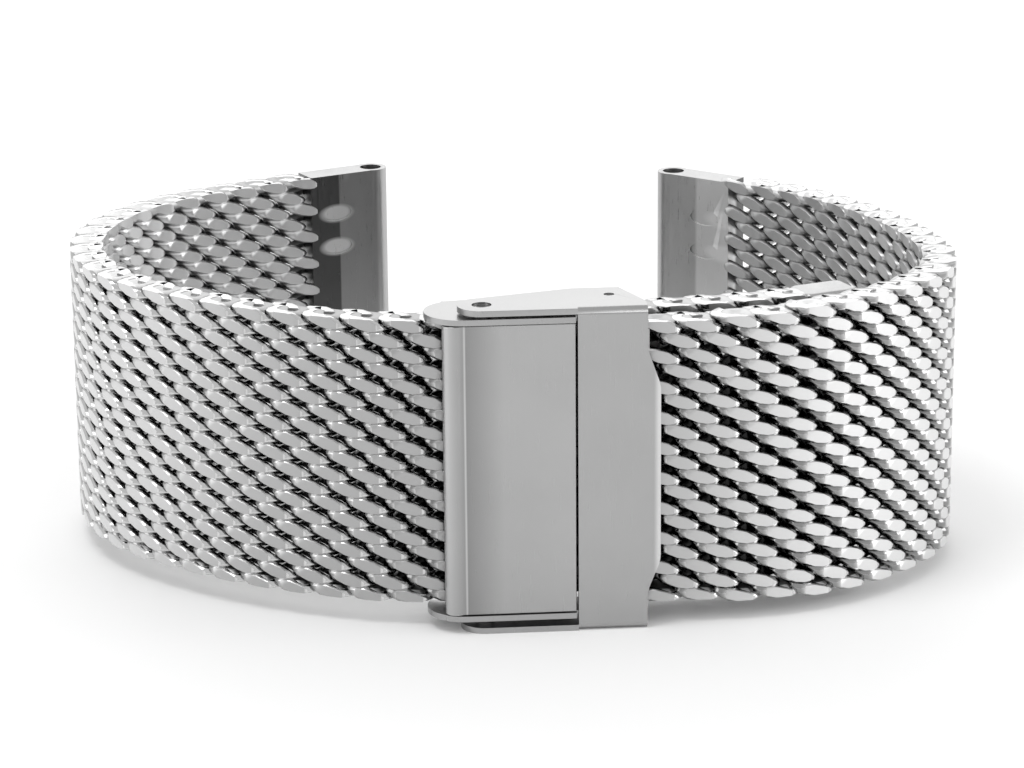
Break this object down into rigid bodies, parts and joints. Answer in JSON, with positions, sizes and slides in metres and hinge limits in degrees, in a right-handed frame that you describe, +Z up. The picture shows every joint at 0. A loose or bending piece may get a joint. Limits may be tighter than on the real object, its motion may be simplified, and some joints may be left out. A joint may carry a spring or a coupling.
{
  "type": "milanese mesh watch band",
  "caption": "Milanese mesh watch band with a sliding clasp, hinged lock plate, swinging safety bracket and tubular spring bar ends.",
  "frame": {"origin": "under the middle of the closed band, on the plane of its lowest edge", "axes": "+X to the right along the clasp's face, +Y from the clasp's face through the wrist opening to the watch gap, +Z up across the band's width"},
  "size_m": [0.0614, 0.0476, 0.022],
  "materials": {
    "mesh_wire": "polished",
    "clasp_sheet": "satin",
    "pin_steel": "turned",
    "end_steel": "satin"
  },
  "bodies": {
    "slider": {"slider_base": "clasp_sheet", "bracket_rivets": "pin_steel", "catch_bar": "pin_steel", "lock_pin": "pin_steel"},
    "bracket": {"safety_bracket": "clasp_sheet"},
    "lock": {"lock_plate": "clasp_sheet"},
    "long_run": {"slider_mesh": "mesh_wire"},
    "short_strap_01": {"hook_plate": "end_steel", "short_mesh_01": "mesh_wire"},
    "short_strap_02": {"short_mesh_02": "mesh_wire"},
    "short_strap_03": {"short_mesh_03": "mesh_wire"},
    "short_strap_04": {"short_mesh_04": "mesh_wire"},
    "short_strap_05": {"short_mesh_05": "mesh_wire"},
    "short_strap_06": {"short_mesh_06": "mesh_wire"},
    "short_strap_07": {"short_mesh_07": "mesh_wire"},
    "short_strap_08": {"short_mesh_08": "mesh_wire"},
    "short_strap_09": {"short_mesh_09": "mesh_wire", "short_lug_end": "end_steel"},
    "long_strap_01": {"long_mesh_01": "mesh_wire"},
    "long_strap_02": {"long_mesh_02": "mesh_wire"},
    "long_strap_03": {"long_mesh_03": "mesh_wire"},
    "long_strap_04": {"long_mesh_04": "mesh_wire"},
    "long_strap_05": {"long_mesh_05": "mesh_wire"},
    "long_strap_06": {"long_mesh_06": "mesh_wire"},
    "long_strap_07": {"long_mesh_07": "mesh_wire"},
    "long_strap_08": {"long_mesh_08": "mesh_wire"},
    "long_strap_09": {"long_mesh_09": "mesh_wire"},
    "long_strap_10": {"long_mesh_10": "mesh_wire", "long_lug_end": "end_steel"},
    "tail_01": {"tail_mesh_01": "mesh_wire"},
    "tail_02": {"tail_mesh_02": "mesh_wire"},
    "tail_03": {"tail_mesh_03": "mesh_wire", "tail_end_cap": "end_steel"}
  },
  "joints": [
    {"name": "bracket_swing", "type": "hinge", "parent": "slider", "child": "bracket", "pos_m": [-0.00322, -0.02221, 0.01102], "axis": [0, 0, -1], "range_deg": [0, 150]},
    {"name": "lock_plate_swing", "type": "hinge", "parent": "slider", "child": "lock", "pos_m": [-0.00512, -0.02306, 0.01102], "axis": [0, 0, -1], "range_deg": [0, 90]},
    {"name": "hook_release", "type": "hinge", "parent": "slider", "child": "short_strap_01", "pos_m": [0.00513, -0.02201, 0.01115], "axis": [0, 0, -1], "range_deg": [0, 30]},
    {"name": "adjust_slide", "type": "slide", "parent": "slider", "child": "long_run", "axis": [-0.9921, -0.1253, 0], "range_m": [0, 0.0026]},
    {"name": "short_bend_01", "type": "hinge", "parent": "short_strap_01", "child": "short_strap_02", "pos_m": [0.01283, -0.02179, 0.01115], "axis": [0, 0, -1], "range_deg": [0, 16]},
    {"name": "short_bend_02", "type": "hinge", "parent": "short_strap_02", "child": "short_strap_03", "pos_m": [0.01793, -0.02087, 0.01115], "axis": [0, 0, -1], "range_deg": [0, 16]},
    {"name": "short_bend_03", "type": "hinge", "parent": "short_strap_03", "child": "short_strap_04", "pos_m": [0.0226, -0.01862, 0.01115], "axis": [0, 0, -1], "range_deg": [0, 16]},
    {"name": "short_bend_04", "type": "hinge", "parent": "short_strap_04", "child": "short_strap_05", "pos_m": [0.0273, -0.01418, 0.01115], "axis": [0, 0, -1], "range_deg": [-1, 16]},
    {"name": "short_bend_05", "type": "hinge", "parent": "short_strap_05", "child": "short_strap_06", "pos_m": [0.02944, -0.00813, 0.01115], "axis": [0, 0, -1], "range_deg": [-1, 16]},
    {"name": "short_bend_06", "type": "hinge", "parent": "short_strap_06", "child": "short_strap_07", "pos_m": [0.02867, -0.00169, 0.01115], "axis": [0, 0, -1], "range_deg": [-1, 16]},
    {"name": "short_bend_07", "type": "hinge", "parent": "short_strap_07", "child": "short_strap_08", "pos_m": [0.02651, 0.00442, 0.01115], "axis": [0, 0, -1], "range_deg": [-1, 16]},
    {"name": "short_bend_08", "type": "hinge", "parent": "short_strap_08", "child": "short_strap_09", "pos_m": [0.02311, 0.00995, 0.01115], "axis": [0, 0, -1], "range_deg": [-1, 16]},
    {"name": "long_bend_01", "type": "hinge", "parent": "long_run", "child": "long_strap_01", "pos_m": [-0.00615, -0.02067, 0.0113], "axis": [0, 0, 1], "range_deg": [-1, 16]},
    {"name": "long_bend_02", "type": "hinge", "parent": "long_strap_01", "child": "long_strap_02", "pos_m": [-0.01, -0.02011, 0.0113], "axis": [0, 0, 1], "range_deg": [-1, 16]},
    {"name": "long_bend_03", "type": "hinge", "parent": "long_strap_02", "child": "long_strap_03", "pos_m": [-0.01481, -0.01816, 0.0113], "axis": [0, 0, 1], "range_deg": [-1, 16]},
    {"name": "long_bend_04", "type": "hinge", "parent": "long_strap_03", "child": "long_strap_04", "pos_m": [-0.02031, -0.01472, 0.0113], "axis": [0, 0, 1], "range_deg": [-1, 16]},
    {"name": "long_bend_05", "type": "hinge", "parent": "long_strap_04", "child": "long_strap_05", "pos_m": [-0.02506, -0.01029, 0.0113], "axis": [0, 0, 1], "range_deg": [-1, 16]},
    {"name": "long_bend_06", "type": "hinge", "parent": "long_strap_05", "child": "long_strap_06", "pos_m": [-0.02838, -0.00475, 0.0113], "axis": [0, 0, 1], "range_deg": [-1, 16]},
    {"name": "long_bend_07", "type": "hinge", "parent": "long_strap_06", "child": "long_strap_07", "pos_m": [-0.02945, 0.00163, 0.0113], "axis": [0, 0, 1], "range_deg": [-1, 16]},
    {"name": "long_bend_08", "type": "hinge", "parent": "long_strap_07", "child": "long_strap_08", "pos_m": [-0.02813, 0.00795, 0.0113], "axis": [0, 0, 1], "range_deg": [-1, 16]},
    {"name": "long_bend_09", "type": "hinge", "parent": "long_strap_08", "child": "long_strap_09", "pos_m": [-0.02458, 0.01336, 0.0113], "axis": [0, 0, 1], "range_deg": [-1, 16]},
    {"name": "long_bend_10", "type": "hinge", "parent": "long_strap_09", "child": "long_strap_10", "pos_m": [-0.0194, 0.01724, 0.0113], "axis": [0, 0, 1], "range_deg": [-1, 16]},
    {"name": "tail_bend_01", "type": "hinge", "parent": "long_run", "child": "tail_01", "pos_m": [0.00547, -0.01933, 0.0113], "axis": [0, 0, 1], "range_deg": [0, 8]},
    {"name": "tail_bend_02", "type": "hinge", "parent": "tail_01", "child": "tail_02", "pos_m": [0.01063, -0.01868, 0.0113], "axis": [0, 0, 1], "range_deg": [0, 8]},
    {"name": "tail_bend_03", "type": "hinge", "parent": "tail_02", "child": "tail_03", "pos_m": [0.01448, -0.01809, 0.0113], "axis": [0, 0, 1], "range_deg": [0, 8]}
  ],
  "couplings": [
    {"joint": "bracket_swing", "follows": "hook_release", "ratio": 5}
  ]
}
